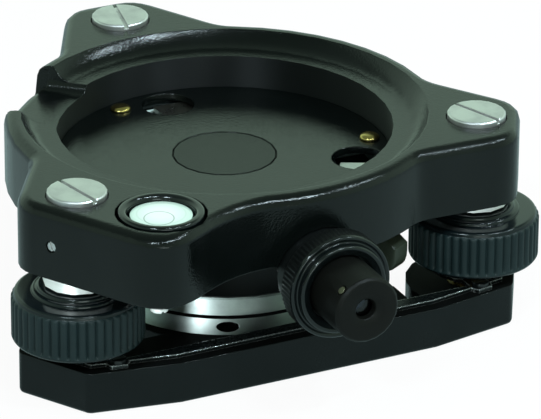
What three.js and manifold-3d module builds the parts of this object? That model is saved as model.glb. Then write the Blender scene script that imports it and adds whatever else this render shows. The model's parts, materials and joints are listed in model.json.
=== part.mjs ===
// Tribrach with an optical plummet: a three-screw levelling base for a surveying instrument.
// Millimetres, +Z up. The origin is on the vertical axis, at the underside of the base plate.
// Corner a is at the rear (+Y), b at the front right, c at the front left. The plummet faces -Y.

import * as THREE from 'three';
import { mergeVertices } from 'three/addons/utils/BufferGeometryUtils.js';
import Module from 'manifold-3d';

const wasm = await Module();
wasm.setup();

// Shared layout. The socket is the driving size: the ring, the screws and the corners follow from it.
const socketRadius = 45.8;
const cornerTurn = { a: 90, b: -30, c: 210 };
const plummetTurn = -90;
const touchGap = 0.3;
const overrun = 2;

// Head casting: widths outwards from the socket, then heights
const seatRingWidth = 4.5;
const dishWidth = 5.1;
const rimWidth = 4.4;
const screwSetout = 8.4;
const headBottom = 35.5;
const headTop = 56.4;
const topRound = 3.2;
const seatRingDrop = 4.2;
const socketDepth = 13.3;
const floorThickness = 2;
const floorLedge = 1.8;
const stubHoleRadius = 7.36;
const stubSet = 9.3;
const lobeNose = { a: 13.7, b: 11.7, c: 11.8 };
const lobeHalfWidth = 17.9;
const lobeRound = 6;
const lobeTaperShare = 0.52;
const notchTurn = 139.7;
const notchHalfWidth = 15.9;
const notchDepth = 6.8;
const notchWallRound = 3.4;
const notchWallLean = 1;
const notchRamp = 7;
const capMoat = 0.35;

// Base plate
const cornerNose = 11.3;
const cornerHalfWidth = 11.4;
const frontSetout = 19.9;
const frontKnee = 38;
const railWidth = 8;
const railHeight = 12;
const lugRadius = 18.5;
const lugHeight = 8.2;
const cornerWall = 6.3;
const hubDiscSetout = 2.7;
const bridgeHalfWidth = 40;
const bridgeBack = 24;
const hubDiscHeight = 5.2;
const armHalfWidth = 7;
const armHeight = 4;
const edgeBreak = 0.8;

// Centre bush with the tripod thread, and its tommy slots
const bushRingHeight = 5;
const bushShankRadius = 15;
const tripodBoreRadius = 7.94;
const bushFootLift = 0.6;
const slotHalfLength = 3.1;
const slotHalfHeight = 1.55;
const slotDepth = 6;
const slotTurn = -114;

// Foot screws
const ballRadius = 5.8;
const ballCentre = 8.6;
const neckRadius = 4;
const threadRadius = 5;
const threadTop = 49.8;
const cupRadius = 7.2;
const cupFloor = 1.7;
const knobRadius = 17.75;
const knobBottom = 15.6;
const knobTop = 29.4;
const knobRibs = 44;
const ribDepth = 0.75;
const knobBevel = 1.3;
const collarRadius = 12.3;
const collarHeight = 0.9;
const collarStepRadius = 10.9;
const collarStepHeight = 1.1;

// Leaf springs over the feet
const springThickness = 1.2;
const springInset = 3;
const springWidth = 4;
const springEyeRadius = 12;
const springTongueHalfWidth = 8;
const springEarRadius = 3.2;
const springScrewRadius = 1.2;
const springScrewHead = 2.3;
const springScrewHeadHeight = 1;
const springScrewDepth = 5;
const springScrewSpread = 54;
const springScrewInset = 6;
const rearSpringHalfWidth = 8;
const rearSpringScrewInset = 3.2;

// Thread bushes and their caps
const sleeveRadius = 9.3;
const sleeveShankRadius = 7.2;
const capRadius = 8;
const capHeight = 3.1;
const capProud = 1.6;
const capNeckRadius = 4.4;
const capNeckLength = 3.8;
const capSlotHalf = 0.55;
const capSlotDepth = 1.1;
const capSlotTurn = { a: 78, b: -70, c: -78 };
const gripScrewRadius = 1.4;
const gripScrewHeight = 46;
const gripScrewLength = 3.4;
const gripScrewInset = 0.4;
const gripScrewSlotHalf = 0.3;
const gripScrewSlotDepth = 0.5;
const gripScrewSlotTurn = 20;

// Seat pads, centre disc
const padRadius = 2.8;
const padProud = 1.3;
const padStemRadius = 1.9;
const padStemLength = 1.2;
const padSet = 4.8;
const padTurn = 19;
const centreDiscRadius = 14;
const centreDiscThickness = 1;

// Circular level
const levelEndWall = 3.5;
const levelAcross = 24.1;
const levelRadius = 11.9;
const levelWall = 1.4;
const levelProud = 0.8;
const levelHeight = 10.5;
const levelWindowRadius = 8.5;
const levelFloor = 1.6;
const vialTopDrop = 1.5;
const vialCrown = 0.6;
const levelScrewRadius = 1.1;
const levelScrewSet = 5.5;
const levelScrewHead = 2;
const levelScrewHeadHeight = 1.4;
const levelScrewBite = 0.9;

// Mechanism drum under the head, and the silver ring below it
const drumSet = 8.6;
const drumWall = 2.5;
const drumBottom = 15.8;
const drumFloor = 3;
const flangeInset = 9.3;
const flangeThickness = 2.3;
const sightHoleRadius = 8.6;
const ringLip = 0.5;
const ringThickness = 4.8;
const ringSightRadius = 7;
const drumScrewInset = 3.5;
const drumScrewRadius = 1.5;
const drumScrewHead = 2.8;
const drumScrewHeadHeight = 1.5;
const drumScrewBite = 5;
const drumScrewTurns = [30, 150, -120];

// Lock ring, claws and lever
const lockThickness = 3.4;
const lockWidth = 17.4;
const lockRunout = 0.6;
const lockGapHalfTurn = 22;
const lockWindowHalfTurn = 20;
const clawThickness = 1.6;
const clawHalfWidth = 5;
const clawStartTurn = -18;
const clawEndTurn = 3;
const leverTurn = -60;
const leverRootTurn = -54;
const leverSwing = 14;
const leverSlackTurn = 2;
const leverHalfWidth = 3.4;
const leverThickness = 2.2;
const leverRootSet = 4;
const leverRootLength = 6.6;
const tabInset = 2.3;
const tabThickness = 6.5;
const tabHeight = 11.7;
const tabSlope = 4.4;
const tabBelly = 4.8;
const tabRound = 3;
const tabBevel = 0.9;
const leverScrewHead = 2;
const leverScrewRadius = 1.2;
const leverScrewHeadHeight = 1.3;

// Optical plummet
const sightHeight = 33.4;
const housingProud = 4.2;
const housingLength = 15.4;
const housingRadius = 12.4;
const housingBossLength = 6.5;
const housingNeckRadius = 8.6;
const neckTubeRadius = 8;
const neckTubeLength = 5;
const tubeRadius = 5.4;
const tubeBore = 4.2;
const tubeInset = 1.5;
const towerRadius = 9.6;
const towerBore = 2.6;
const towerMouth = 7.6;
const focusRingRadius = 14.6;
const focusRingLength = 6.6;
const focusBezelRadius = 13.2;
const focusBezelLength = 1.6;
const focusRecessRadius = 11;
const focusRibs = 32;
const focusRibDepth = 0.45;
const eyepieceRadius = 9.2;
const eyepieceReach = 17;
const eyepieceStemRadius = 5.4;
const eyepieceStemLength = 4;
const eyepieceBore = 4;
const eyeHoleRadius = 2.6;
const eyeDishRadius = 5.4;
const eyeDishDepth = 1.2;
const eyeLensRadius = 4.6;
const eyeLensThickness = 2.4;
const eyeLensSetback = 3;
const eyeScrewRadius = 1.1;
const eyeScrewDepth = 3;
const eyeScrewTurn = 136;
const eyeScrewSetback = 2.4;
const prismHalf = 3.2;
const objectiveThickness = 2.2;
const cellLength = 6;
const cellSetback = 15.6;
const cellBore = 2.6;
const cellLedge = 1.5;
const cellLensThickness = 2;

// Facet counts
const fine = 40;
const smooth = 30;
const medium = 20;
const coarse = 12;
const small = 8;

// Radii and places worked out from the sizes above
const seatRingOuter = socketRadius + seatRingWidth;
const rimRadius = seatRingOuter + dishWidth;
const ringRadius = rimRadius + rimWidth;
const screwCircleRadius = ringRadius + screwSetout;
const farReach = 2 * screwCircleRadius;
const chamberRadius = socketRadius - floorLedge;
const stubCircleRadius = socketRadius - stubSet;
const padCircleRadius = socketRadius - padSet;
const lobeReach = {
  a: screwCircleRadius + lobeNose.a,
  b: screwCircleRadius + lobeNose.b,
  c: screwCircleRadius + lobeNose.c,
};
const cornerReach = screwCircleRadius + cornerNose;
const frontReach = frontSetout - polar(screwCircleRadius, cornerTurn.b)[1];
const lockOuter = chamberRadius - lockRunout;
const lockInner = lockOuter - lockWidth;
const drumRadius = lockOuter - drumSet;
const flangeRadius = ringRadius - flangeInset;
const drumScrewCircleRadius = flangeRadius - drumScrewInset;
const bushRingRadius = drumRadius + ringLip;
const hubDiscRadius = bushRingRadius + hubDiscSetout;
const tabReach = ringRadius - tabInset;
const leverRoot = lockInner + leverRootSet;
const leverRootEnd = leverRoot + leverRootLength;
const levelAlong = lobeReach.c - levelEndWall - touchGap - levelRadius;
const levelScrewCircleRadius = levelRadius - levelScrewSet;
const housingFront = ringRadius + housingProud;
const housingBack = housingFront - housingLength;
const housingBossBack = housingFront - housingBossLength;
const neckTubeFront = housingFront + neckTubeLength;
const tubeBack = towerRadius + touchGap;
const tubeFront = housingFront - tubeInset;
const eyepieceFront = neckTubeFront + eyepieceReach;
const cellBack = housingBack - cellSetback;

// Heights worked out from the sizes above
const socketFloor = headTop - socketDepth;
const chamberTop = socketFloor - floorThickness;
const seatRingHeight = headTop - seatRingDrop;
const bushRingTop = hubDiscHeight + bushRingHeight;
const silverRingBottom = drumBottom - ringThickness;
const collarTop = knobTop + collarHeight + collarStepHeight;
const sleeveBottom = collarTop + 2 * touchGap;
const sleeveTop = headTop + capProud - capHeight;
const lockBottom = headBottom + touchGap;
const lockTop = lockBottom + lockThickness;
const leverBottom = headBottom - touchGap - leverThickness;
const leverTop = headBottom - touchGap;
const springTop = railHeight + springThickness;

const steel = { color: 0xc9cfcd, roughness: 0.3, metalness: 1 };
const finishes = {
  casting: { color: 0x16191a, roughness: 0.38, metalness: 0.1 },
  blackMetal: { color: 0x101213, roughness: 0.45, metalness: 0.3 },
  knobPlastic: { color: 0x14181a, roughness: 0.55, metalness: 0 },
  leverPlastic: { color: 0x1c1f1a, roughness: 0.6, metalness: 0 },
  steel,
  springSteel: { color: 0x1b1e1f, roughness: 0.35, metalness: 0.8 },
  brass: { color: 0xb4913f, roughness: 0.3, metalness: 1 },
  glass: { color: 0xdfeee6, roughness: 0.05, metalness: 0 },
  vialGlass: { color: 0xcfe8d2, roughness: 0.08, metalness: 0 },
};

const model = new THREE.Group();

function degrees(turn) {
  return THREE.MathUtils.degToRad(turn);
}

// A point at a radius and a turn about the vertical axis
function polar(radius, turn) {
  return [radius * Math.cos(degrees(turn)), radius * Math.sin(degrees(turn))];
}

// A point along the direction of a turn, and across it counterclockwise
function beside(turn, along, across) {
  const [cos, sin] = polar(1, turn);
  return [along * cos - across * sin, along * sin + across * cos];
}

function signedVolume(points, triangles) {
  let sum = 0;
  const corner = [0, 0, 0].map(() => new THREE.Vector3());
  for (let i = 0; i < triangles.length; i += 3) {
    corner.forEach((v, k) => v.fromArray(points, 3 * triangles[i + k]));
    sum += corner[0].dot(corner[1].cross(corner[2]));
  }
  return sum;
}

// A closed solid from a three.js geometry, its faces turned outwards
function solid(geometry) {
  const bare = geometry.clone();
  bare.deleteAttribute('normal');
  bare.deleteAttribute('uv');
  const welded = mergeVertices(bare);
  const points = welded.getAttribute('position').array;
  const triangles = [];
  for (let i = 0; i < welded.index.count; i += 3) {
    const [p, q, r] = [0, 1, 2].map((k) => welded.index.getX(i + k));
    if (p !== q && q !== r && r !== p) triangles.push(p, q, r);
  }
  if (signedVolume(points, triangles) < 0) triangles.reverse();
  return new wasm.Manifold(new wasm.Mesh({
    numProp: 3,
    vertProperties: Float32Array.from(points),
    triVerts: Uint32Array.from(triangles),
  }));
}

const join = (first, ...rest) => rest.reduce((sum, next) => sum.add(next), first);
const cut = (first, ...rest) => rest.reduce((sum, next) => sum.subtract(next), first);

// A solid turned about the vertical axis from a closed profile of radius and height pairs
function turned(profile, facets) {
  const points = profile.map(([radius, height]) => new THREE.Vector2(radius, height));
  points.push(points[0].clone());
  return solid(new THREE.LatheGeometry(points, facets).rotateX(Math.PI / 2));
}

function disc(radius, low, high, facets) {
  return turned([[0, low], [radius, low], [radius, high], [0, high]], facets);
}

function pipe(inner, outer, low, high, facets) {
  return turned([[inner, low], [outer, low], [outer, high], [inner, high]], facets);
}

// The same solid, moved in the plane and up
function moved(body, [x, y], z = 0) {
  return body.translate([x, y, z]);
}

function spun(body, turn) {
  return body.rotate([0, 0, turn]);
}

// A turned solid laid along the line of sight: height becomes the distance in front of the axis
function forward(body) {
  return body.rotate([90, 0, 0]).translate([0, 0, sightHeight]);
}

function shapeOf(points) {
  return new THREE.Shape(points.map(([x, y]) => new THREE.Vector2(x, y)));
}

function prism(shape, low, high, curveSegments = small) {
  const geometry = new THREE.ExtrudeGeometry(shape, {
    depth: high - low,
    bevelEnabled: false,
    curveSegments,
  });
  return solid(geometry.translate(0, 0, low));
}

// A bar along a turn, from one radius to another
function bar(turn, from, to, halfWidth, low, high) {
  return prism(shapeOf([
    beside(turn, from, -halfWidth),
    beside(turn, to, -halfWidth),
    beside(turn, to, halfWidth),
    beside(turn, from, halfWidth),
  ]), low, high);
}

// A sector of a ring between two turns
function sector(inner, outer, turn, halfTurn, low, high) {
  const shape = new THREE.Shape();
  const [start, end] = [degrees(turn - halfTurn), degrees(turn + halfTurn)];
  shape.absarc(0, 0, outer, start, end, false);
  shape.absarc(0, 0, inner, end, start, true);
  const halfCircle = 180;
  return prism(shape, low, high, Math.ceil(coarse * halfTurn / halfCircle));
}

// A ribbed wheel, lofted through rings of height, rib radius and groove radius
function ribbed(rings, ribs) {
  const ribShares = [0, 0.5];
  const around = ribs * ribShares.length;
  const positions = [];
  for (const [height, crest, groove] of rings) {
    for (let rib = 0; rib < ribs; rib += 1) {
      ribShares.forEach((share, k) => {
        const angle = 2 * Math.PI * (rib + share) / ribs;
        const radius = k < 1 ? crest : groove;
        positions.push(radius * Math.cos(angle), radius * Math.sin(angle), height);
      });
    }
  }
  const index = [];
  for (let level = 0; level + 1 < rings.length; level += 1) {
    for (let k = 0; k < around; k += 1) {
      const [p, q] = [level * around + k, level * around + (k + 1) % around];
      index.push(p, q, q + around, p, q + around, p + around);
    }
  }
  const lowCentre = positions.length / 3;
  positions.push(0, 0, rings[0][0]);
  positions.push(0, 0, rings[rings.length - 1][0]);
  for (let k = 0; k < around; k += 1) {
    const [p, q] = [k, (k + 1) % around];
    const top = (rings.length - 1) * around;
    index.push(q, p, lowCentre);
    index.push(top + p, top + q, lowCentre + 1);
  }
  const geometry = new THREE.BufferGeometry();
  geometry.setAttribute('position', new THREE.Float32BufferAttribute(positions, 3));
  geometry.setIndex(index);
  return solid(geometry);
}

// Adds a solid to the model as a named mesh
function place(name, body, finish, group = model) {
  const { vertProperties, triVerts } = body.getMesh();
  const geometry = new THREE.BufferGeometry();
  geometry.setAttribute('position', new THREE.BufferAttribute(Float32Array.from(vertProperties), 3));
  geometry.setIndex(new THREE.BufferAttribute(Uint32Array.from(triVerts), 1));
  geometry.computeVertexNormals();
  const mesh = new THREE.Mesh(geometry, new THREE.MeshStandardMaterial(finishes[finish]));
  mesh.name = name;
  group.add(mesh);
}

// A slotted screw head with its shank, standing on height zero with the shank below
function screw(headRadius, headHeight, shankRadius, shankLength) {
  const slotShare = 0.12;
  const body = turned([
    [0, -shankLength],
    [shankRadius, -shankLength],
    [shankRadius, 0],
    [headRadius, 0],
    [headRadius, headHeight],
    [0, headHeight],
  ], small);
  const reach = headRadius + overrun;
  return cut(body, bar(0, -reach, reach, slotShare * headRadius, headHeight / 2, headHeight + overrun));
}

// Base plate outline: three cut corners, with the front side bowed out between two knees
function baseOutline(inset) {
  const corner = (turn, side) => beside(turn, cornerReach - inset, side * (cornerHalfWidth - inset / 2));
  return shapeOf([
    corner(cornerTurn.a, -1),
    corner(cornerTurn.a, 1),
    corner(cornerTurn.c, -1),
    corner(cornerTurn.c, 1),
    [-frontKnee, inset - frontReach],
    [frontKnee, inset - frontReach],
    corner(cornerTurn.b, -1),
    corner(cornerTurn.b, 1),
  ]);
}

// The rail along the front side, between the front corners
function frontRail(low, high, inset, width) {
  const strip = shapeOf([
    [-cornerReach, -cornerReach],
    [cornerReach, -cornerReach],
    [cornerReach, inset + width - frontReach],
    [-cornerReach, inset + width - frontReach],
  ]);
  return prism(strip, low, high).intersect(prism(baseOutline(inset), low, high));
}

function buildBasePlate() {
  const outline = prism(baseOutline(0), 0, railHeight);
  let plate = disc(hubDiscRadius, 0, hubDiscHeight, fine);
  for (const turn of Object.values(cornerTurn)) {
    const lug = moved(disc(lugRadius, 0, lugHeight, medium), polar(screwCircleRadius, turn));
    const wall = bar(turn, cornerReach - cornerWall, cornerReach, lugRadius, 0, railHeight);
    plate = join(plate, lug, wall);
  }
  const arm = bar(cornerTurn.a, bushRingRadius, screwCircleRadius, armHalfWidth, 0, armHeight);
  const bridge = bar(plummetTurn, bridgeBack, frontReach, bridgeHalfWidth, 0, hubDiscHeight);
  plate = join(plate, arm, bridge, frontRail(0, railHeight, 0, railWidth)).intersect(outline);
  for (const turn of Object.values(cornerTurn)) {
    const centre = polar(screwCircleRadius, turn);
    const pocket = disc(cupRadius + touchGap, cupFloor, railHeight + overrun, coarse);
    plate = cut(plate, moved(pocket, centre));
  }
  plate = cut(plate, disc(bushShankRadius + touchGap, -overrun, hubDiscHeight + overrun, medium));
  for (const [x, y] of springScrewPlaces()) {
    const holeFloor = railHeight - springScrewDepth - touchGap;
    const hole = disc(springScrewRadius + touchGap, holeFloor, springTop, small);
    plate = cut(plate, moved(hole, [x, y]));
  }
  return plate;
}

// Two screws hold the front spring on the rail, one holds the rear spring on its corner wall
function springScrewPlaces() {
  const y = springScrewInset - frontReach;
  return [
    [-springScrewSpread, y],
    [springScrewSpread, y],
    polar(cornerReach - rearSpringScrewInset, cornerTurn.a),
  ];
}

function footHole(turn) {
  const hole = disc(threadRadius + touchGap, 0, springTop + overrun, coarse);
  return moved(hole, polar(screwCircleRadius, turn));
}

function buildFrontSpring() {
  let spring = frontRail(railHeight, springTop, springInset, springWidth);
  const inside = prism(baseOutline(springInset), railHeight, springTop);
  const tongueBar = bar(plummetTurn, 0, frontReach, springTongueHalfWidth, railHeight, springTop);
  for (const turn of [cornerTurn.b, cornerTurn.c]) {
    const centre = polar(screwCircleRadius, turn);
    const eye = moved(disc(springEyeRadius, railHeight, springTop, medium), centre);
    const tongue = moved(tongueBar, centre);
    spring = cut(join(spring, join(eye, tongue).intersect(inside)), footHole(turn));
  }
  const earRoom = prism(baseOutline(edgeBreak), railHeight, springTop);
  for (const spot of springScrewPlaces().slice(0, 2)) {
    const ear = moved(disc(springEarRadius, railHeight, springTop, coarse), spot);
    const hole = moved(disc(springScrewRadius + touchGap, 0, springTop + overrun, small), spot);
    spring = cut(join(spring, ear.intersect(earRoom)), hole);
  }
  return spring;
}

function buildRearSpring() {
  const turn = cornerTurn.a;
  const eye = moved(disc(springEyeRadius, railHeight, springTop, medium), polar(screwCircleRadius, turn));
  const tail = bar(turn, screwCircleRadius, cornerReach, rearSpringHalfWidth, railHeight, springTop);
  const inside = prism(baseOutline(edgeBreak), railHeight, springTop);
  const hole = disc(springScrewRadius + touchGap, 0, springTop + overrun, small);
  return cut(join(eye, tail).intersect(inside), footHole(turn), moved(hole, springScrewPlaces()[2]));
}

function buildCentreBush() {
  const body = turned([
    [tripodBoreRadius, bushFootLift],
    [bushShankRadius, bushFootLift],
    [bushShankRadius, hubDiscHeight],
    [bushRingRadius, hubDiscHeight],
    [bushRingRadius, bushRingTop],
    [tripodBoreRadius, bushRingTop],
  ], smooth);
  const slotShape = new THREE.Shape();
  slotShape.absellipse(0, 0, slotHalfLength, slotHalfHeight, 0, 2 * Math.PI, false, 0);
  const slot = prism(slotShape, bushRingRadius - slotDepth, bushRingRadius + overrun, small / 2)
    .rotate([90, 0, 90])
    .translate([0, 0, hubDiscHeight + bushRingHeight / 2]);
  return cut(body, ...[0, 120, 240].map((step) => spun(slot, slotTurn + step)));
}

function buildFootCup() {
  const hollow = ballProfile(ballRadius + touchGap, ballCentre, lugHeight + overrun);
  return cut(disc(cupRadius, cupFloor, lugHeight, coarse), turned(hollow, coarse));
}

// The lower part of a ball about the axis, closed off at a height
function ballProfile(radius, centre, top) {
  const steps = 5;
  const reach = Math.asin(Math.min(1, (top - centre) / radius));
  const points = [];
  for (let k = 0; k <= steps; k += 1) {
    const angle = -Math.PI / 2 + (reach + Math.PI / 2) * k / steps;
    points.push([k === 0 ? 0 : radius * Math.cos(angle), centre + radius * Math.sin(angle)]);
  }
  points.push([0, top]);
  return points;
}

function buildSpindle() {
  const shoulder = ballCentre + Math.sqrt(ballRadius ** 2 - neckRadius ** 2);
  const ball = turned(ballProfile(ballRadius, ballCentre, shoulder), coarse);
  const rod = turned([
    [0, ballCentre],
    [neckRadius, ballCentre],
    [neckRadius, knobBottom - touchGap],
    [threadRadius, knobBottom],
    [threadRadius, threadTop],
    [0, threadTop],
  ], coarse);
  return join(ball, rod);
}

function buildKnob() {
  const groove = knobRadius - ribDepth;
  const chamfered = knobRadius - knobBevel;
  const wheel = ribbed([
    [knobBottom, chamfered, chamfered - ribDepth],
    [knobBottom + knobBevel, knobRadius, groove],
    [knobTop - knobBevel, knobRadius, groove],
    [knobTop, chamfered, chamfered - ribDepth],
  ], knobRibs);
  const collar = turned([
    [0, knobTop - knobBevel],
    [collarRadius, knobTop - knobBevel],
    [collarRadius, knobTop + collarHeight],
    [collarStepRadius, knobTop + collarHeight],
    [collarStepRadius, collarTop],
    [0, collarTop],
  ], medium);
  return cut(join(wheel, collar), disc(threadRadius + touchGap, 0, collarTop + overrun, coarse));
}

// Half the width of a lobe at a distance from the vertical axis
function flankAt(along) {
  return lobeHalfWidth - lobeTaperShare * (along - screwCircleRadius);
}

// Head casting outline, counterclockwise, with a round pad for the level beside corner c
function headOutline() {
  const rootTurn = 28;
  const blendShare = 0.908;
  const flankStartShare = 0.97;
  const levelSide = levelAcross + levelRadius + touchGap + levelWall;
  const padRootTurn = 46;
  const padBlendShare = 0.62;
  const padStartShare = 0.76;
  const shape = new THREE.Shape();
  for (const name of ['a', 'c', 'b']) {
    const turn = cornerTurn[name];
    const reach = lobeReach[name];
    const nose = flankAt(reach);
    const onFlank = (along, side) => beside(turn, along, side * flankAt(along));
    const flankStart = flankStartShare * ringRadius;
    if (name === 'a') {
      shape.moveTo(...polar(ringRadius, turn - rootTurn));
    } else {
      const before = name === 'b' ? padRootTurn : rootTurn;
      const corner = name === 'b' ? cornerTurn.c : cornerTurn.a;
      shape.absarc(0, 0, ringRadius, degrees(corner + before), degrees(turn - rootTurn), false);
    }
    shape.quadraticCurveTo(...onFlank(blendShare * ringRadius, -1), ...onFlank(flankStart, -1));
    shape.lineTo(...onFlank(reach - lobeRound, -1));
    shape.quadraticCurveTo(...beside(turn, reach, -nose), ...beside(turn, reach, lobeRound - nose));
    if (name === 'c') {
      shape.lineTo(...beside(turn, reach, levelSide - levelRadius));
      shape.quadraticCurveTo(
        ...beside(turn, reach, levelSide),
        ...beside(turn, reach - levelRadius, levelSide),
      );
      shape.lineTo(...beside(turn, padStartShare * reach, levelSide));
      shape.quadraticCurveTo(
        ...beside(turn, padBlendShare * reach, levelSide),
        ...polar(ringRadius, turn + padRootTurn),
      );
    } else {
      shape.lineTo(...beside(turn, reach, nose - lobeRound));
      shape.quadraticCurveTo(...beside(turn, reach, nose), ...onFlank(reach - lobeRound, 1));
      shape.lineTo(...onFlank(flankStart, 1));
      shape.quadraticCurveTo(...onFlank(blendShare * ringRadius, 1), ...polar(ringRadius, turn + rootTurn));
    }
  }
  shape.absarc(0, 0, ringRadius, degrees(cornerTurn.b + rootTurn), degrees(cornerTurn.a - rootTurn), false);
  return shape;
}

const levelCentre = beside(cornerTurn.c, levelAlong, levelAcross);
const levelTop = headTop + levelProud;
const levelBottom = levelTop - levelHeight;

function levelScrewPlaces() {
  return [0, 120, 240].map((step) => {
    const [x, y] = polar(levelScrewCircleRadius, step);
    return [levelCentre[0] + x, levelCentre[1] + y];
  });
}

// The keyway in the rim: a steep wall with a rounded foot on one side, a ramp on the other
function buildNotch() {
  const floor = headTop - notchDepth;
  const top = headTop + overrun;
  const foot = notchWallLean - notchHalfWidth;
  const shape = new THREE.Shape();
  shape.moveTo(-notchHalfWidth, top);
  shape.lineTo(foot, floor + notchWallRound);
  shape.quadraticCurveTo(foot, floor, foot + notchWallRound, floor);
  shape.lineTo(notchHalfWidth - notchRamp, floor);
  shape.quadraticCurveTo(notchHalfWidth - notchRamp / 2, floor, notchHalfWidth, headTop);
  shape.lineTo(notchHalfWidth, top);
  const slot = prism(shape, socketRadius - notchHalfWidth, farReach, small / 2).rotate([90, 0, 90]);
  const halfShare = 0.5;
  const bendShare = 0.87;
  const edge = turned([
    [ringRadius - topRound, top],
    [ringRadius - topRound, floor],
    [ringRadius - halfShare * topRound, floor - (1 - bendShare) * topRound],
    [ringRadius - (1 - bendShare) * topRound, floor - halfShare * topRound],
    [ringRadius, floor - topRound],
    [farReach, floor - topRound],
    [farReach, top],
  ], fine);
  return spun(join(slot, edge.intersect(slot.translate([0, 0, -topRound]))), notchTurn);
}

function buildHead() {
  const full = new THREE.ExtrudeGeometry(headOutline(), {
    depth: headTop - headBottom,
    bevelThickness: topRound,
    bevelSize: topRound,
    bevelOffset: -topRound,
    bevelSegments: 3,
    curveSegments: 4,
  });
  const slab = disc(farReach, headBottom, headTop + overrun, small);
  let head = solid(full.translate(0, 0, headBottom - topRound)).intersect(slab);
  const dishShare = 0.35;
  const dishBendShare = 0.6;
  const dish = turned([
    [0, chamberTop],
    [socketRadius, chamberTop],
    [socketRadius, seatRingHeight],
    [seatRingOuter, seatRingHeight],
    [seatRingOuter + dishBendShare * dishWidth, seatRingHeight + dishShare * seatRingDrop],
    [rimRadius, headTop],
    [rimRadius, headTop + overrun],
    [0, headTop + overrun],
  ], fine);
  const chamber = disc(chamberRadius, headBottom - overrun, chamberTop + overrun, smooth);
  head = cut(head, dish, chamber, buildNotch());
  for (const [name, turn] of Object.entries(cornerTurn)) {
    const centre = polar(screwCircleRadius, turn);
    const boreTop = sleeveTop + touchGap;
    const sleeveBore = disc(sleeveShankRadius + touchGap, headBottom - overrun, boreTop, coarse);
    const capBore = disc(capRadius + capMoat, sleeveTop, headTop + overrun, medium);
    const grip = disc(gripScrewRadius + touchGap, screwCircleRadius, lobeReach[name] + overrun, small)
      .rotate([0, 90, 0])
      .translate([0, 0, gripScrewHeight]);
    head = cut(head, moved(sleeveBore, centre), moved(capBore, centre), spun(grip, turn));
  }
  const levelPocket = disc(levelRadius + touchGap, levelBottom, headTop + overrun, medium);
  const roomEnd = ringRadius + overrun;
  const neckRoom = forward(disc(housingNeckRadius + touchGap, housingBack - touchGap, roomEnd, medium));
  const bossRoom = forward(disc(housingRadius + touchGap, housingBossBack - touchGap, roomEnd, medium));
  const tubeRoom = forward(disc(tubeRadius + touchGap, lockInner, housingBack, coarse));
  head = cut(head, moved(levelPocket, levelCentre), neckRoom, bossRoom, tubeRoom);
  for (const spot of levelScrewPlaces()) {
    head = cut(head, moved(disc(levelScrewRadius + touchGap, headBottom - overrun, levelTop, small), spot));
  }
  for (const turn of drumScrewTurns) {
    const holeTop = headBottom + drumScrewBite + touchGap;
    const hole = disc(drumScrewRadius + touchGap, headBottom - overrun, holeTop, small);
    head = cut(head, moved(hole, polar(drumScrewCircleRadius, turn)));
  }
  return head;
}

// The socket's floor plate on its ledge, with the stub holes and blind holes for the pads and the disc
function buildSocketFloor() {
  const top = socketFloor + overrun;
  let floor = disc(socketRadius - touchGap, chamberTop, socketFloor, fine);
  floor = cut(floor, disc(centreDiscRadius + touchGap, socketFloor - centreDiscThickness, top, medium));
  for (const turn of Object.values(cornerTurn)) {
    const stubHole = disc(stubHoleRadius, chamberTop - overrun, top, medium);
    const padHole = disc(padStemRadius + touchGap, socketFloor - padStemLength - touchGap, top, small);
    floor = cut(
      floor,
      moved(stubHole, polar(stubCircleRadius, turn)),
      moved(padHole, polar(padCircleRadius, turn + padTurn)),
    );
  }
  return floor;
}

function buildSleeve() {
  return turned([
    [threadRadius + touchGap, sleeveBottom],
    [sleeveRadius, sleeveBottom],
    [sleeveRadius, headBottom],
    [sleeveShankRadius, headBottom],
    [sleeveShankRadius, sleeveTop],
    [threadRadius + touchGap, sleeveTop],
  ], coarse);
}

function buildCap(turn) {
  const top = headTop + capProud;
  const body = turned([
    [0, sleeveTop - capNeckLength],
    [capNeckRadius, sleeveTop - capNeckLength],
    [capNeckRadius, sleeveTop],
    [capRadius, sleeveTop],
    [capRadius, top - edgeBreak / 2],
    [capRadius - edgeBreak / 2, top],
    [0, top],
  ], medium);
  const slotReach = capRadius + overrun;
  return cut(body, bar(turn, -slotReach, slotReach, capSlotHalf, top - capSlotDepth, top + overrun));
}

// A slotted grub screw lying along a turn, set in from the lobe's end face
function buildGripScrew(reach) {
  const outer = reach - gripScrewInset;
  const body = disc(gripScrewRadius, outer - gripScrewLength, outer, small);
  const slotBottom = outer - gripScrewSlotDepth;
  const slotReach = gripScrewRadius + overrun;
  const slot = bar(gripScrewSlotTurn, -slotReach, slotReach, gripScrewSlotHalf, slotBottom, outer + overrun);
  return cut(body, slot).rotate([0, 90, 0]).translate([0, 0, gripScrewHeight]);
}

function buildPad() {
  return turned([
    [0, socketFloor - padStemLength],
    [padStemRadius, socketFloor - padStemLength],
    [padStemRadius, socketFloor],
    [padRadius, socketFloor],
    [padRadius, socketFloor + padProud / 2],
    [padRadius - edgeBreak, socketFloor + padProud],
    [0, socketFloor + padProud],
  ], coarse);
}

function buildLevelHousing() {
  const body = turned([
    [0, levelBottom],
    [levelRadius, levelBottom],
    [levelRadius, levelTop - edgeBreak],
    [levelRadius - edgeBreak, levelTop],
    [levelWindowRadius + edgeBreak, levelTop],
    [levelWindowRadius, levelTop - vialTopDrop],
    [levelWindowRadius, levelBottom + levelFloor],
    [0, levelBottom + levelFloor],
  ], medium);
  const holes = levelScrewPlaces().map((spot) => {
    const shifted = [spot[0] - levelCentre[0], spot[1] - levelCentre[1]];
    const holeTop = levelBottom + levelScrewBite + touchGap;
    return moved(disc(levelScrewRadius + touchGap, levelBottom - overrun, holeTop, small), shifted);
  });
  return cut(body, ...holes);
}

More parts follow.
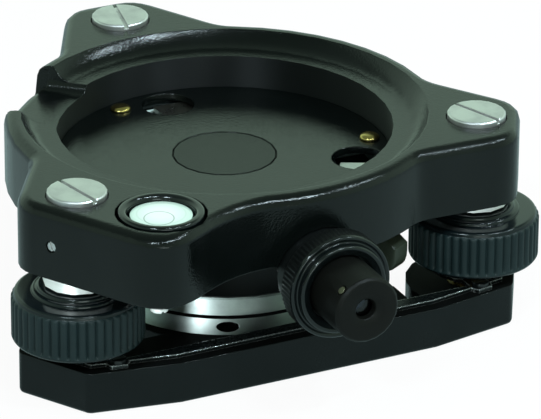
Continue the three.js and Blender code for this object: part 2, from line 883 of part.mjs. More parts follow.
function buildVial() {
  const crownShares = [0.6, 0.7];
  const radius = levelWindowRadius - touchGap;
  const rim = levelTop - vialTopDrop;
  return turned([
    [0, levelBottom + levelFloor],
    [radius, levelBottom + levelFloor],
    [radius, rim],
    [crownShares[0] * radius, rim + crownShares[1] * vialCrown],
    [0, rim + vialCrown],
  ], medium);
}

function buildDrum() {
  const inner = drumRadius - drumWall;
  const flangeBottom = headBottom - flangeThickness;
  let drum = turned([
    [sightHoleRadius, drumBottom],
    [drumRadius - edgeBreak, drumBottom],
    [drumRadius, drumBottom + edgeBreak],
    [drumRadius, flangeBottom],
    [flangeRadius, flangeBottom],
    [flangeRadius, headBottom],
    [inner, headBottom],
    [inner, drumBottom + drumFloor],
    [sightHoleRadius, drumBottom + drumFloor],
  ], smooth);
  const rootEdgeTurn = THREE.MathUtils.radToDeg(Math.atan(leverHalfWidth / leverRoot));
  const slotEndTurn = leverRootTurn + rootEdgeTurn + leverSlackTurn;
  const leverSlot = sector(
    inner - overrun,
    flangeRadius + overrun,
    (plummetTurn + slotEndTurn) / 2,
    (slotEndTurn - plummetTurn) / 2,
    leverBottom - 2 * touchGap,
    headBottom + overrun,
  );
  const tubeRoom = forward(disc(tubeRadius + touchGap, inner - overrun, flangeRadius + overrun, coarse));
  drum = cut(drum, leverSlot, tubeRoom);
  const roomEnd = flangeRadius + overrun;
  const neckRoom = disc(housingNeckRadius + touchGap, housingBack - touchGap, roomEnd, medium);
  drum = cut(drum, forward(neckRoom));
  for (const turn of drumScrewTurns) {
    const hole = disc(drumScrewRadius + touchGap, 0, headBottom + overrun, small);
    drum = cut(drum, moved(hole, polar(drumScrewCircleRadius, turn)));
  }
  return drum;
}

function buildSilverRing() {
  return turned([
    [ringSightRadius, silverRingBottom],
    [bushRingRadius, silverRingBottom],
    [bushRingRadius, drumBottom],
    [ringSightRadius, drumBottom],
  ], smooth);
}

// A ring open at the front, where the plummet tube passes, with a window for each stub
function buildLockRing() {
  const halfCircle = 180;
  const windowShares = [0.8, 0.7];
  const half = leverSwing / 2;
  const middle = cornerTurn.a + half;
  let ring = sector(lockInner, lockOuter, middle, halfCircle - lockGapHalfTurn, lockBottom, lockTop);
  for (const turn of Object.values(cornerTurn)) {
    const window = sector(
      stubCircleRadius - windowShares[0] * stubHoleRadius,
      stubCircleRadius + windowShares[1] * stubHoleRadius,
      turn + half,
      lockWindowHalfTurn,
      lockBottom - overrun,
      lockTop + overrun,
    );
    ring = cut(ring, window);
  }
  const leverHole = disc(leverScrewRadius + touchGap, 0, lockTop + overrun, small);
  return cut(ring, moved(leverHole, leverScrewPlace()));
}

// A plate on the lock ring that reaches into a stub hole and grips the stub's groove
function buildClaw(turn) {
  const middle = (clawStartTurn + clawEndTurn) / 2;
  const half = (clawEndTurn - clawStartTurn) / 2;
  const inner = stubCircleRadius - clawHalfWidth;
  const outer = stubCircleRadius + clawHalfWidth;
  return sector(inner, outer, turn + middle, half, lockTop, lockTop + clawThickness);
}

function leverScrewPlace() {
  return polar((leverRoot + leverRootEnd) / 2, leverRootTurn);
}

// A root under the lock ring, an arm through the drum, and a finger tab that slopes outwards at its top
function buildLever() {
  const inner = tabReach - tabThickness;
  const bottom = leverTop - tabHeight;
  const root = bar(leverRootTurn, leverRoot, leverRootEnd, leverHalfWidth, leverBottom, lockBottom);
  const arm = prism(shapeOf([
    beside(leverRootTurn, leverRoot, -leverHalfWidth),
    beside(leverTurn, inner + tabBevel, tabBevel - leverHalfWidth),
    beside(leverTurn, inner + tabBevel, leverHalfWidth - tabBevel),
    beside(leverRootTurn, leverRoot, leverHalfWidth),
  ]), leverBottom, leverTop);
  const profile = new THREE.Shape();
  profile.moveTo(inner, leverTop);
  profile.lineTo(inner, bottom + tabRound);
  profile.quadraticCurveTo(inner, bottom, inner + tabRound, bottom);
  profile.quadraticCurveTo(tabReach, bottom, tabReach, bottom + tabBelly);
  profile.lineTo(tabReach, leverTop - tabSlope);
  const tab = solid(new THREE.ExtrudeGeometry(profile, {
    depth: 2 * (leverHalfWidth - tabBevel),
    bevelThickness: tabBevel,
    bevelSize: tabBevel,
    bevelOffset: -tabBevel,
    bevelSegments: 2,
    curveSegments: 5,
  }).rotateX(Math.PI / 2).translate(0, leverHalfWidth - tabBevel, 0));
  const holeBottom = leverBottom + edgeBreak;
  const threadHole = disc(leverScrewRadius + touchGap, holeBottom, lockBottom + overrun, small);
  return cut(join(root, arm, spun(tab, leverTurn)), moved(threadHole, leverScrewPlace()));
}

function buildPlummetHousing() {
  const bore = tubeRadius + touchGap;
  return forward(turned([
    [bore, housingBack],
    [housingNeckRadius, housingBack],
    [housingNeckRadius, housingBossBack],
    [housingRadius, housingBossBack],
    [housingRadius, housingFront - edgeBreak],
    [housingRadius - edgeBreak, housingFront],
    [neckTubeRadius, housingFront],
    [neckTubeRadius, neckTubeFront],
    [bore, neckTubeFront],
  ], medium));
}

function buildFocusRing() {
  const inner = neckTubeRadius + touchGap;
  const back = housingFront + touchGap;
  const front = back + focusRingLength;
  const chamfered = focusRingRadius - edgeBreak;
  const wheel = ribbed([
    [back, focusRingRadius, focusRingRadius - focusRibDepth],
    [front - edgeBreak, focusRingRadius, focusRingRadius - focusRibDepth],
    [front, chamfered, chamfered - focusRibDepth],
  ], focusRibs);
  const bezel = turned([
    [0, front - edgeBreak],
    [focusBezelRadius, front - edgeBreak],
    [focusBezelRadius, front + focusBezelLength / 2],
    [focusRecessRadius, front + focusBezelLength],
    [0, front + focusBezelLength],
  ], medium);
  const bore = disc(inner, 0, neckTubeFront + touchGap, medium);
  const recess = disc(eyepieceRadius + touchGap, neckTubeFront, eyepieceFront, medium);
  return forward(cut(join(wheel, bezel), bore, recess));
}

function buildEyepiece() {
  const back = neckTubeFront + 2 * touchGap;
  const lensSeat = eyepieceFront - eyeLensSetback - eyeLensThickness;
  const body = turned([
    [eyepieceBore, back - eyepieceStemLength],
    [eyepieceStemRadius, back - eyepieceStemLength],
    [eyepieceStemRadius, back],
    [eyepieceRadius, back],
    [eyepieceRadius, eyepieceFront - edgeBreak],
    [eyepieceRadius - edgeBreak, eyepieceFront],
    [eyeDishRadius, eyepieceFront],
    [eyeHoleRadius + touchGap, eyepieceFront - eyeDishDepth],
    [eyeHoleRadius, eyepieceFront - eyeLensSetback],
    [eyeLensRadius + touchGap, eyepieceFront - eyeLensSetback],
    [eyeLensRadius + touchGap, lensSeat],
    [eyepieceBore, lensSeat - touchGap],
  ], medium);
  const holeFloor = eyepieceRadius - eyeScrewDepth;
  const screwHole = disc(eyeScrewRadius + touchGap, holeFloor, eyepieceRadius + overrun, small)
    .rotate([0, 90, 0])
    .rotate([0, 0, eyeScrewTurn])
    .translate([0, 0, eyepieceFront - eyeScrewSetback]);
  return forward(cut(body, screwHole));
}

// A small screw set into the eyepiece barrel's side
function buildEyeScrew() {
  const body = disc(eyeScrewRadius, eyepieceRadius - eyeScrewDepth + touchGap, eyepieceRadius, small)
    .rotate([0, 90, 0])
    .rotate([0, 0, eyeScrewTurn]);
  return forward(body.translate([0, 0, eyepieceFront - eyeScrewSetback]));
}

function buildEyeLens() {
  const back = eyepieceFront - eyeLensSetback - eyeLensThickness;
  return forward(lens(eyeLensRadius, back, back + eyeLensThickness));
}

// A disc of glass with a domed front
function lens(radius, back, front) {
  const crownShares = [0.3, 0.6, 0.09];
  const depth = front - back;
  return turned([
    [0, back],
    [radius, back],
    [radius, front - crownShares[0] * depth],
    [crownShares[1] * radius, front - crownShares[2] * depth],
    [0, front],
  ], coarse);
}

function buildReticleCell() {
  const bore = cellBore + touchGap;
  const ledge = cellBack + cellLedge;
  return forward(turned([
    [cellBore, cellBack],
    [tubeBore - touchGap, cellBack],
    [tubeBore - touchGap, cellBack + cellLength],
    [bore, cellBack + cellLength],
    [bore, ledge],
    [cellBore, ledge],
  ], small));
}

function buildPrism() {
  const bottom = sightHeight - prismHalf;
  const section = shapeOf([
    [-prismHalf, bottom],
    [prismHalf, bottom],
    [-prismHalf, bottom + 2 * prismHalf],
  ]);
  return prism(section, -prismHalf, prismHalf).rotate([90, 0, 90]);
}

function buildPrismTower() {
  return turned([
    [towerMouth, drumBottom + drumFloor],
    [towerRadius, drumBottom + drumFloor],
    [towerRadius, sightHeight - prismHalf],
    [towerBore, sightHeight - prismHalf],
  ], coarse);
}

// Base, fixed to the tripod
place('base_plate', buildBasePlate(), 'casting');
place('front_spring', buildFrontSpring(), 'springSteel');
place('rear_spring', buildRearSpring(), 'springSteel');
springScrewPlaces().forEach((spot, k) => {
  const body = screw(springScrewHead, springScrewHeadHeight, springScrewRadius, springScrewDepth);
  place(`spring_screw_${k + 1}`, moved(body, spot, springTop), 'steel');
});
place('centre_bush', buildCentreBush(), 'steel');

// Head casting and what is set in it
place('head_body', buildHead(), 'casting');
place('socket_floor', buildSocketFloor(), 'casting');
const centreDisc = disc(centreDiscRadius, socketFloor - centreDiscThickness, socketFloor, medium);
place('centre_disc', centreDisc, 'casting');
place('level_housing', moved(buildLevelHousing(), levelCentre), 'blackMetal');
place('level_vial', moved(buildVial(), levelCentre), 'vialGlass');
levelScrewPlaces().forEach((spot, k) => {
  const length = levelBottom + levelScrewBite - headBottom;
  const body = screw(levelScrewHead, levelScrewHeadHeight, levelScrewRadius, length).rotate([180, 0, 0]);
  place(`level_screw_${k + 1}`, moved(body, spot, headBottom), 'steel');
});

// One set at each corner
for (const [name, turn] of Object.entries(cornerTurn)) {
  const centre = polar(screwCircleRadius, turn);
  place(`foot_cup_${name}`, moved(buildFootCup(), centre), 'brass');
  place(`foot_spindle_${name}`, moved(buildSpindle(), centre), 'brass');
  place(`foot_knob_${name}`, moved(buildKnob(), centre), 'knobPlastic');
  place(`thread_sleeve_${name}`, moved(buildSleeve(), centre), 'steel');
  place(`screw_cap_${name}`, moved(buildCap(capSlotTurn[name]), centre), 'steel');
  place(`grip_screw_${name}`, spun(buildGripScrew(lobeReach[name]), turn), 'steel');
  place(`seat_pad_${name}`, moved(buildPad(), polar(padCircleRadius, turn + padTurn)), 'brass');
  place(`lock_claw_${name}`, buildClaw(turn), 'steel');
}

// Mechanism drum and the lock
place('drum', buildDrum(), 'blackMetal');
place('drum_ring', buildSilverRing(), 'steel');
drumScrewTurns.forEach((turn, k) => {
  const length = flangeThickness + drumScrewBite;
  const body = screw(drumScrewHead, drumScrewHeadHeight, drumScrewRadius, length).rotate([180, 0, 0]);
  const spot = polar(drumScrewCircleRadius, turn);
  place(`drum_screw_${k + 1}`, moved(body, spot, headBottom - flangeThickness), 'steel');
});
place('lock_ring', buildLockRing(), 'steel');
place('lock_lever', buildLever(), 'leverPlastic');
const leverScrewLength = lockTop - leverBottom - edgeBreak - touchGap;
const leverScrew = screw(leverScrewHead, leverScrewHeadHeight, leverScrewRadius, leverScrewLength);
place('lever_screw', moved(leverScrew, leverScrewPlace(), lockTop), 'steel');

// Optical plummet
place('plummet_housing', buildPlummetHousing(), 'blackMetal');
place('plummet_tube', forward(pipe(tubeBore, tubeRadius, tubeBack, tubeFront, coarse)), 'blackMetal');
place('prism_tower', buildPrismTower(), 'blackMetal');
place('prism', buildPrism(), 'glass');
const objective = lens(sightHoleRadius - touchGap, drumBottom, drumBottom + objectiveThickness);
place('objective_lens', objective, 'glass');
place('reticle_cell', buildReticleCell(), 'blackMetal');
const reticleBack = cellBack + cellLedge;
const reticle = disc(cellBore, reticleBack, reticleBack + cellLensThickness, coarse);
place('reticle', forward(reticle), 'glass');
place('focus_ring', buildFocusRing(), 'blackMetal');
place('eyepiece', buildEyepiece(), 'blackMetal');
place('eye_lens', buildEyeLens(), 'glass');
place('eye_screw', buildEyeScrew(), 'steel');

export default model;
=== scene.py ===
"""Looks of a tribrach with an optical plummet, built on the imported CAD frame.

Lengths are in metres, except in the profiles of turned pieces, which are in millimetres.
"""

import json
import math

import bmesh
import bpy
from mathutils import Matrix, Vector

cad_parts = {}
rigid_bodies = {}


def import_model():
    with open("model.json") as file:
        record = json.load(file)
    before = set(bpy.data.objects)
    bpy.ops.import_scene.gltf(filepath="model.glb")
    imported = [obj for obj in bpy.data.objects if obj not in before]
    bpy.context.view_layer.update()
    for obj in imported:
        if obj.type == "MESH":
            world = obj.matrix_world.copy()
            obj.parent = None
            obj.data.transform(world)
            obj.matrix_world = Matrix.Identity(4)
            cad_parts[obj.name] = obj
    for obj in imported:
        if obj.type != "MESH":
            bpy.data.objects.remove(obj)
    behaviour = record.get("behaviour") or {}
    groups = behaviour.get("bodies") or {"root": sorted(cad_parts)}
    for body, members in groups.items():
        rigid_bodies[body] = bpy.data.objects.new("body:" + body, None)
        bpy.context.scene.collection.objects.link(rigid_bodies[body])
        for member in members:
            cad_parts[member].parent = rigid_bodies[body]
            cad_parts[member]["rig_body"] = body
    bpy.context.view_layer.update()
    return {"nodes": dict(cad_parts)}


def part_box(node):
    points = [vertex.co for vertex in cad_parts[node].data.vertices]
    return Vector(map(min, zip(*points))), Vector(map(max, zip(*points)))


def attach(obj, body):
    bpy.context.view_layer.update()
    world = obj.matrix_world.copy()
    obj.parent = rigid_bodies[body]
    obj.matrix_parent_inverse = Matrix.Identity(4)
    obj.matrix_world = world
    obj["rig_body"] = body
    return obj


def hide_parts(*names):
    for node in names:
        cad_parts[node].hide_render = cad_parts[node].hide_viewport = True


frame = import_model()


MM = 0.001
CORNERS = "abc"


def middle(node):
    low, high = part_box(node)
    return (low + high) / 2


def half_width(node):
    low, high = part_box(node)
    return (high.x - low.x) / 2


def look_up(table, node, other):
    """A node's own entry, or its family's: the name without its last letter or digit."""
    return table.get(node, table.get(node[:-1], other))


def new_object(name, data):
    thing = bpy.data.objects.new(name, data)
    bpy.context.scene.collection.objects.link(thing)
    return thing


# Camera, at the photograph's angle

PHOTO_WIDTH, FOCAL_LENGTH = 541, 5020.9  # pixels
SENSOR_WIDTH = 36.0  # millimetres
AZIMUTH, ELEVATION, ROLL = -0.458154, 0.436464, 0.006979  # radians
DISTANCE, ACROSS, UPWARD = 1.35958, 0.0125946, -0.0287385
TARGET = Vector((0, 0, 0.058))
CLIP_START, CLIP_END = 0.05, 20.0


def make_camera():
    back = Vector((
        math.sin(AZIMUTH) * math.cos(ELEVATION),
        -math.cos(AZIMUTH) * math.cos(ELEVATION),
        math.sin(ELEVATION),
    ))
    right = (-back).cross(Vector((0, 0, 1))).normalized()
    up = right.cross(-back)
    place = right * ACROSS + up * UPWARD + back * DISTANCE + TARGET
    c, s = math.cos(ROLL), math.sin(ROLL)
    right, up = right * c + up * s, up * c - right * s
    data = bpy.data.cameras.new("photo_camera")
    data.sensor_fit = "HORIZONTAL"
    data.sensor_width = SENSOR_WIDTH
    data.lens = FOCAL_LENGTH / PHOTO_WIDTH * SENSOR_WIDTH
    data.clip_start, data.clip_end = CLIP_START, CLIP_END
    camera = new_object("photo_camera", data)
    turn = Matrix((right, up, back)).transposed().to_4x4()
    camera.matrix_world = Matrix.Translation(place) @ turn
    bpy.context.scene.camera = camera


# Node helpers


class Graph:
    """A material's or world's nodes, with short calls to add and join them."""

    def __init__(self, owner):
        owner.use_nodes = True
        self.tree = owner.node_tree
        self.tree.nodes.clear()

    def add(self, kind, **values):
        node = self.tree.nodes.new(kind)
        for key, value in values.items():
            setattr(node, key, value)
        return node

    def join(self, out, to):
        self.tree.links.new(out, to)

    def math(self, operation, *values):
        node = self.add("ShaderNodeMath", operation=operation)
        for socket, value in zip(node.inputs, values):
            if isinstance(value, (int, float)):
                socket.default_value = value
            else:
                self.join(value, socket)
        return node.outputs[0]

    def remap(self, value, before, after):
        """Carries one span of values to another, and holds it at both ends."""
        node = self.add("ShaderNodeMapRange")
        self.join(value, node.inputs["Value"])
        for span, ends in (("From", before), ("To", after)):
            for end, number in zip(("Min", "Max"), ends):
                node.inputs[span + " " + end].default_value = number
        return node.outputs["Result"]

    def noise(self, place, scale, detail, rough):
        node = self.add("ShaderNodeTexNoise")
        self.join(place, node.inputs["Vector"])
        node.inputs["Scale"].default_value = scale
        node.inputs["Detail"].default_value = detail
        node.inputs["Roughness"].default_value = rough
        return node.outputs["Fac"]

    def place(self):
        return self.add("ShaderNodeTexCoord").outputs["Object"]

    def parts(self, vector):
        split = self.add("ShaderNodeSeparateXYZ")
        self.join(vector, split.inputs[0])
        return split.outputs

    def distance(self, place, x, y):
        """Distance of a place, in its parts, from an upright axis through x and y."""
        a = self.math("SUBTRACT", place["X"], x)
        b = self.math("SUBTRACT", place["Y"], y)
        squares = self.math("ADD", self.math("MULTIPLY", a, a), self.math("MULTIPLY", b, b))
        return self.math("SQRT", squares)

    def bevel(self, radius):
        node = self.add("ShaderNodeBevel", samples=6)
        node.inputs["Radius"].default_value = radius
        return node.outputs["Normal"]

    def bump(self, height, strength, distance, normal):
        node = self.add("ShaderNodeBump")
        node.inputs["Strength"].default_value = strength
        node.inputs["Distance"].default_value = distance
        self.join(height, node.inputs["Height"])
        self.join(normal, node.inputs["Normal"])
        return node.outputs["Normal"]

    def mix(self, factor, a, b):
        """A colour between two, each of them a colour or another node's output."""
        node = self.add("ShaderNodeMix", data_type="RGBA")
        self.join(factor, node.inputs["Factor"])
        for key, value in (("A", a), ("B", b)):
            socket = next(s for s in node.inputs if s.name == key and s.type == "RGBA")
            if isinstance(value, tuple):
                socket.default_value = (*value, 1.0)
            else:
                self.join(value, socket)
        return next(s for s in node.outputs if s.type == "RGBA")

    def blend(self, factor, a, b):
        """A shader between two."""
        node = self.add("ShaderNodeMixShader")
        self.join(factor, node.inputs["Fac"])
        self.join(a.outputs[0], node.inputs[1])
        self.join(b.outputs[0], node.inputs[2])
        return node.outputs[0]


def principled(name, colour, metallic=0.0, specular=0.5, **more):
    material = bpy.data.materials.new(name)
    graph = Graph(material)
    out = graph.add("ShaderNodeOutputMaterial")
    shader = graph.add("ShaderNodeBsdfPrincipled")
    shader.inputs["Base Color"].default_value = (*colour, 1.0)
    shader.inputs["Metallic"].default_value = metallic
    shader.inputs["Specular IOR Level"].default_value = specular
    for key, value in more.items():
        shader.inputs[key.replace("_", " ")].default_value = value
    graph.join(shader.outputs["BSDF"], out.inputs["Surface"])
    return material, graph, shader


def uneven(graph, shader, slow, roughness, patches, colour, other):
    """Gloss that drifts with a slow noise, and patches of another colour above its upper values."""
    graph.join(graph.remap(slow, (0.3, 0.7), roughness), shader.inputs["Roughness"])
    share = graph.remap(slow, patches, (0.0, 1.0))
    graph.join(graph.mix(share, colour, other), shader.inputs["Base Color"])


def turned_sheen(graph, shader, amount):
    """Draws highlights out across turning lines that run about the vertical axis."""
    shader.inputs["Anisotropic"].default_value = amount
    shader.inputs["Anisotropic Rotation"].default_value = 0.25
    tangent = graph.add("ShaderNodeTangent", direction_type="RADIAL", axis="Z")
    graph.join(tangent.outputs["Tangent"], shader.inputs["Tangent"])


def enamel(name, colour, rough=0.15, specular=0.35, peel=1.0, edge=0.0005, drawn=0.0):
    """Black enamel on a casting: fine orange peel, drifting gloss and slightly paler patches."""
    material, graph, shader = principled(name, colour, specular=specular)
    if drawn:
        turned_sheen(graph, shader, drawn)
    place = graph.place()
    coarse = graph.noise(place, scale=700.0, detail=2.0, rough=0.5)
    fine = graph.noise(place, scale=1900.0, detail=1.0, rough=0.5)
    slow = graph.noise(place, scale=38.0, detail=4.0, rough=0.6)
    height = graph.math("ADD", graph.math("MULTIPLY", coarse, 0.25), fine)
    normal = graph.bump(height, peel, distance=0.00006, normal=graph.bevel(edge))
    graph.join(normal, shader.inputs["Normal"])
    paler = tuple(c * 1.4 + 0.0008 for c in colour)
    uneven(graph, shader, slow, (rough - 0.03, rough + 0.06), (0.42, 0.72), colour, paler)
    return material


def rubbed(name, colour, bare):
    """Blackened steel whose edges are rubbed down to bright metal."""
    material, graph, shader = principled(name, colour)
    soft = graph.bevel(0.00035)
    facing = graph.add("ShaderNodeVectorMath", operation="DOT_PRODUCT")
    graph.join(soft, facing.inputs[0])
    graph.join(graph.add("ShaderNodeNewGeometry").outputs["True Normal"], facing.inputs[1])
    wear = graph.noise(graph.place(), scale=700.0, detail=3.0, rough=0.6)
    patchy = graph.remap(wear, (0.35, 0.6), (0.25, 1.0))
    edges = graph.remap(facing.outputs["Value"], (0.99, 0.9), (0.0, 1.0))
    edges = graph.math("MULTIPLY", edges, patchy)
    graph.join(graph.mix(edges, colour, bare), shader.inputs["Base Color"])
    graph.join(edges, shader.inputs["Metallic"])
    graph.join(soft, shader.inputs["Normal"])
    graph.join(graph.remap(patchy, (0.0, 1.0), (0.34, 0.24)), shader.inputs["Roughness"])
    return material


def plastic(name, colour, rough, specular=0.35):
    """Moulded plastic with a fine grain and slightly uneven gloss."""
    material, graph, shader = principled(name, colour, specular=specular)
    place = graph.place()
    grain = graph.noise(place, scale=2600.0, detail=2.0, rough=0.6)
    slow = graph.noise(place, scale=60.0, detail=4.0, rough=0.6)
    normal = graph.bump(grain, 0.12, distance=0.0001, normal=graph.bevel(0.0003))
    graph.join(normal, shader.inputs["Normal"])
    paler = tuple(c * 1.3 + 0.002 for c in colour)
    uneven(graph, shader, slow, (rough - 0.04, rough + 0.06), (0.4, 0.75), colour, paler)
    return material


def metal(name, colour, rough, lines=0.1, drawn=0.0, plain=0.0):
    """Turned metal: fine rings about the axis, uneven gloss, dull patches, a share of whiteness."""
    material, graph, shader = principled(name, colour, metallic=1.0 - plain)
    if drawn:
        turned_sheen(graph, shader, drawn)
    place = graph.place()
    radius = graph.distance(graph.parts(place), 0.0, 0.0)
    rings = graph.add("ShaderNodeTexNoise", noise_dimensions="1D")
    graph.join(graph.math("MULTIPLY", radius, 9000.0), rings.inputs["W"])
    rings.inputs["Scale"].default_value = 1.0
    rings.inputs["Detail"].default_value = 2.0
    soft = graph.bevel(0.0002)
    normal = graph.bump(rings.outputs["Fac"], lines, distance=0.00003, normal=soft)
    graph.join(normal, shader.inputs["Normal"])
    slow = graph.noise(place, scale=140.0, detail=4.0, rough=0.6)
    duller = tuple(c * 0.82 for c in colour)
    uneven(graph, shader, slow, (rough - 0.06, rough + 0.1), (0.45, 0.75), colour, duller)
    return material


def smeared(graph, shader, low, high):
    """Faint wipe marks in the gloss of glass."""
    marks = graph.noise(graph.place(), scale=90.0, detail=3.0, rough=0.5)
    graph.join(graph.remap(marks, (0.3, 0.8), (low, high)), shader.inputs["Roughness"])


def vial_glass(name, centre, radius):
    """Pale green glass over a white floor, with an engraved ring and an off-centre bubble."""
    colour, pale, ink = (0.58, 0.76, 0.64), (0.8, 0.86, 0.82), (0.1, 0.14, 0.13)
    aside, forward = -0.0018, -0.0025
    material, graph, shader = principled(name, colour, Coat_Weight=0.6, Coat_Roughness=0.04)
    place = graph.parts(graph.place())
    far = graph.distance(place, centre.x, centre.y)
    bubble = graph.distance(place, centre.x + aside, centre.y + forward)
    tone = graph.mix(graph.remap(far, (0.35 * radius, radius), (0.0, 1.0)), pale, colour)
    circles = (  # distance from the centre, radius, half width of the line, depth of its tone
        (far, 0.78 * radius, 0.0002, 0.12),
        (bubble, 0.0039, 0.00014, 0.6),
    )
    for distance, circle, width, depth in circles:
        off = graph.math("ABSOLUTE", graph.math("SUBTRACT", distance, circle))
        line = graph.remap(off, (width * 0.6, width * 1.6), (depth, 0.0))
        tone = graph.mix(line, tone, ink)
    graph.join(tone, shader.inputs["Base Color"])
    smeared(graph, shader, 0.08, 0.16)
    return material


def glass(name, colour):
    material, graph, shader = principled(name, colour, Transmission_Weight=1.0)
    smeared(graph, shader, 0.03, 0.09)
    return material


# Finishes

BLACK = (0.0016, 0.0025, 0.0023)
CASTING = enamel("black_enamel", BLACK)
BASE_ENAMEL = enamel(
    "base_enamel", (0.0018, 0.0028, 0.003), rough=0.24, specular=0.26, edge=0.0006
)
DISC = enamel("disc_enamel", BLACK, rough=0.18, specular=0.2, edge=0.0001)
WALL = enamel(
    "socket_wall", (0.002, 0.0026, 0.003),
    rough=0.5, specular=0.3, peel=0.3, edge=0.0001, drawn=0.95,
)
ANODISED = enamel(
    "black_anodised", (0.003, 0.0038, 0.0038), rough=0.34, specular=0.3, peel=0.15, edge=0.0003
)
EYE_BLACK = enamel(
    "eyepiece_black", (0.0035, 0.0036, 0.003), rough=0.42, specular=0.15, peel=0.15, edge=0.0003
)
GLOSS = enamel(
    "gloss_black", (0.002, 0.0032, 0.0034), rough=0.13, specular=0.5, peel=0.1, edge=0.0002
)
# Near-black matt enamel for faces in gaps and slots: painted shade.
PAINTED_SHADE = enamel(
    "hollow_black", (0.001, 0.001, 0.001), rough=0.6, specular=0.1, peel=0.1, edge=0.0001
)
# A darker, matt copy of the base's enamel for its sheltered tops: painted shade.
BASE_PAINTED_SHADE = enamel("matt_black", (0.0016, 0.0018, 0.0016), rough=0.7, specular=0.06, edge=0.0003)
DARK_SCREW = enamel(
    "blackened_screw", (0.002, 0.003, 0.003), rough=0.3, specular=0.5, peel=0.2, edge=0.0003
)
SPRING = rubbed("blackened_spring", (0.002, 0.003, 0.003), bare=(0.55, 0.58, 0.56))
KNOB = plastic("knob_plastic", (0.0065, 0.0145, 0.0155), rough=0.38, specular=0.25)
KNOB_GLOSS = plastic("knob_gloss", (0.0025, 0.005, 0.006), rough=0.14, specular=0.4)
LEVER = plastic("lever_plastic", (0.016, 0.021, 0.012), rough=0.36)
STEEL = metal("satin_steel", (0.74, 0.72, 0.73), rough=0.4, lines=0.12)
EYE_SCREW = metal("eye_screw_steel", (0.3, 0.28, 0.2), rough=0.3)
RING_STEEL = metal("turned_steel", (0.7, 0.78, 0.76), rough=0.58, lines=0.3, drawn=0.9)
SLEEVE_STEEL = metal("sleeve_steel", (0.93, 0.95, 0.93), rough=0.58, drawn=0.85, plain=0.35)
CLAW_STEEL = metal("claw_steel", (0.85, 0.87, 0.85), rough=0.36)
# A darker copy of the claw steel for claw a: painted shade in its hole.
CLAW_PAINTED_SHADE = metal("dull_claw_steel", (0.3, 0.29, 0.26), rough=0.3)
SCREW_STEEL = metal("bright_screw", (0.93, 0.94, 0.92), rough=0.4, plain=0.4)
BRASS = metal("brass", (0.52, 0.39, 0.13), rough=0.22)
CLEAR = glass("coated_glass", (0.35, 0.42, 0.7))
VIAL = vial_glass("vial_glass", middle("level_vial"), half_width("level_vial"))

# By node, or by family of nodes for a name that ends in _. The rest are anodised black.
NODE_FINISH = {
    "base_plate": BASE_ENAMEL,
    "front_spring": SPRING,
    "rear_spring": SPRING,
    "spring_screw_": DARK_SCREW,
    "centre_bush": RING_STEEL,
    "foot_cup_": BRASS,
    "foot_spindle_": BRASS,
    "foot_knob_": KNOB,
    "head_body": CASTING,
    "socket_floor": CASTING,
    "centre_disc": DISC,
    "seat_pad_": BRASS,
    "screw_cap_": STEEL,
    "thread_sleeve_": SLEEVE_STEEL,
    "grip_screw_": STEEL,
    "level_housing": GLOSS,
    "level_vial": VIAL,
    "level_screw_": STEEL,
    "drum_ring": RING_STEEL,
    "drum_screw_": STEEL,
    "lock_ring": RING_STEEL,
    "lock_claw_": CLAW_STEEL,
    # Claw a takes the darker copy of the claw steel: painted shade in its hole.
    "lock_claw_a": CLAW_PAINTED_SHADE,
    "lock_lever": LEVER,
    "lever_screw": STEEL,
    "focus_ring": GLOSS,
    "eyepiece": EYE_BLACK,
    "eye_screw": EYE_SCREW,
    "eye_lens": CLEAR,
    "objective_lens": CLEAR,
    "prism": CLEAR,
    "reticle": CLEAR,
}


def finish_of(node):
    return look_up(NODE_FINISH, node, ANODISED)


def finish_nodes():
    for name, node in frame["nodes"].items():
        slots = node.data.materials
        if len(slots) == 0:
            slots.append(finish_of(name))
        for k in range(len(slots)):
            slots[k] = finish_of(name)


# Pieces that stand for the faceted CAD nodes

BODY_OF = {name: node["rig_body"] for name, node in frame["nodes"].items()}
SMOOTH_ANGLE = 37  # degrees


def add_piece(name, mesh, node, material):
    """Links a mesh as the piece that stands for a CAD node."""
    mesh.materials.clear()
    mesh.materials.append(material)
    piece = new_object(name, mesh)
    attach(piece, BODY_OF[node])
    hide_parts(node)
    return piece


def shade(mesh, degrees=SMOOTH_ANGLE):
    """Smooth faces, with the edges sharp that turn by more than an angle."""
    mesh.polygons.foreach_set("use_smooth", [True] * len(mesh.polygons))
    mesh.set_sharp_from_angle(angle=math.radians(degrees))


def refinish(mesh, material, chosen):
    """Gives some faces their own finish, by one true or false for each face."""
    mesh.materials.append(material)
    mesh.polygons.foreach_set("material_index", [int(c) for c in chosen])


def reach(point):
    """Distance from the vertical axis."""
    return math.hypot(point.x, point.y)


def lofted(rings, close_ends=True):
    """A closed mesh through rings of points, all with the same count."""
    mesh = bpy.data.meshes.new("loft")
    shape = bmesh.new()
    rows = [[shape.verts.new(p) for p in ring] for ring in rings]
    count = len(rows[0])
    for low, high in zip(rows, rows[1:]):
        for k in range(count):
            after = (k + 1) % count
            shape.faces.new((low[k], low[after], high[after], high[k]))
    if close_ends:
        shape.faces.new(list(reversed(rows[0])))
        shape.faces.new(rows[-1])
    bmesh.ops.recalc_face_normals(shape, faces=shape.faces)
    shape.to_mesh(mesh)
    shape.free()
    return mesh


def block(across, along, heights):
    """A box between two places on each axis."""
    (left, right), (front, back) = across, along
    corners = ((left, front), (right, front), (right, back), (left, back))
    return lofted([[(*corner, height) for corner in corners] for height in heights])


def carved(mesh, cutter):
    """The mesh with another closed mesh cut out of it."""
    body = new_object("body", mesh)
    tool = new_object("tool", cutter)
    cut = body.modifiers.new("cut", "BOOLEAN")
    cut.operation = "DIFFERENCE"
    cut.object = tool
    cut.solver = "EXACT"
    bpy.context.view_layer.update()
    solid = body.evaluated_get(bpy.context.evaluated_depsgraph_get())
    result = bpy.data.meshes.new_from_object(solid)
    bpy.data.objects.remove(body)
    bpy.data.objects.remove(tool)
    return result


